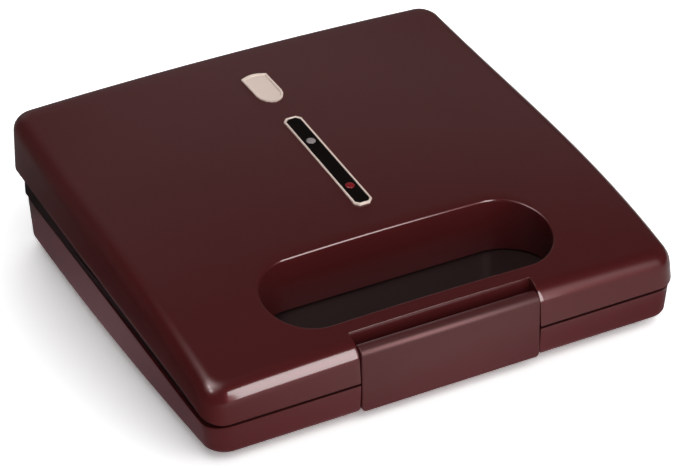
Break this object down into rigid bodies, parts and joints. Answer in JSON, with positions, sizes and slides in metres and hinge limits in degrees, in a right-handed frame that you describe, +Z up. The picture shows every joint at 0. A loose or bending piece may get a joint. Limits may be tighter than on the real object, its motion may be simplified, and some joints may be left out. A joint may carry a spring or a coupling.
{
  "type": "sandwich toaster",
  "caption": "Countertop sandwich toaster: wedge-shaped hinged lid with an oblong handle opening, heated pocket plates, front latch, indicator strip and blank shield badge.",
  "frame": {"origin": "on the table, below the middle of the closed body", "axes": "+X to the right as seen from the front, +Y to the rear, +Z up; the front with the latch faces -Y"},
  "size_m": [0.2474, 0.229, 0.0759],
  "materials": {
    "casing": "metallic lacquer, gloss",
    "frame": "satin black",
    "plate": "dark non-stick coat",
    "steel": "zinc plated",
    "heater": "heat-dulled sheath",
    "reflector": "bright sheet",
    "foot": "matte",
    "block": "moulded",
    "wire": "sleeved",
    "fuse": "woven sleeve",
    "inlet": "matte",
    "trim": "champagne satin",
    "window": "gloss black",
    "white_lens": "translucent",
    "red_lens": "translucent",
    "board": "satin"
  },
  "bodies": {
    "base": {"lower_casing": "casing", "lower_frame": "frame", "lower_plate": "plate", "lower_heater": "heater", "lower_clamps": "steel", "lower_reflector": "reflector", "lower_plate_screws": "steel", "clamp_screws_lower": "steel", "feet": "foot", "base_screws": "steel", "latch_striker": "steel", "striker_screws": "steel", "hinge_pins": "steel", "thermostat": "steel", "thermal_fuse": "fuse", "terminal_block": "block", "cord_inlet": "inlet", "lower_wiring": "wire"},
    "lid": {"upper_casing": "casing", "upper_frame": "frame", "upper_plate": "plate", "upper_heater": "heater", "upper_clamps": "steel", "upper_reflector": "reflector", "upper_plate_screws": "steel", "clamp_screws_upper": "steel", "lid_screws": "steel", "indicator_trim": "trim", "indicator_window": "window", "power_lamp": "white_lens", "ready_lamp": "red_lens", "lamp_board": "board", "upper_wiring": "wire", "badge": "trim", "latch_pin": "steel"},
    "latch": {"latch": "casing"}
  },
  "joints": [
    {"name": "lid_hinge", "type": "hinge", "parent": "base", "child": "lid", "pos_m": [0, 0.109, 0.0352], "axis": [-1, 0, 0], "range_deg": [0, 105]},
    {"name": "latch_hinge", "type": "hinge", "parent": "lid", "child": "latch", "pos_m": [0, -0.1103, 0.0343], "axis": [-1, 0, 0], "range_deg": [0, 45]}
  ]
}
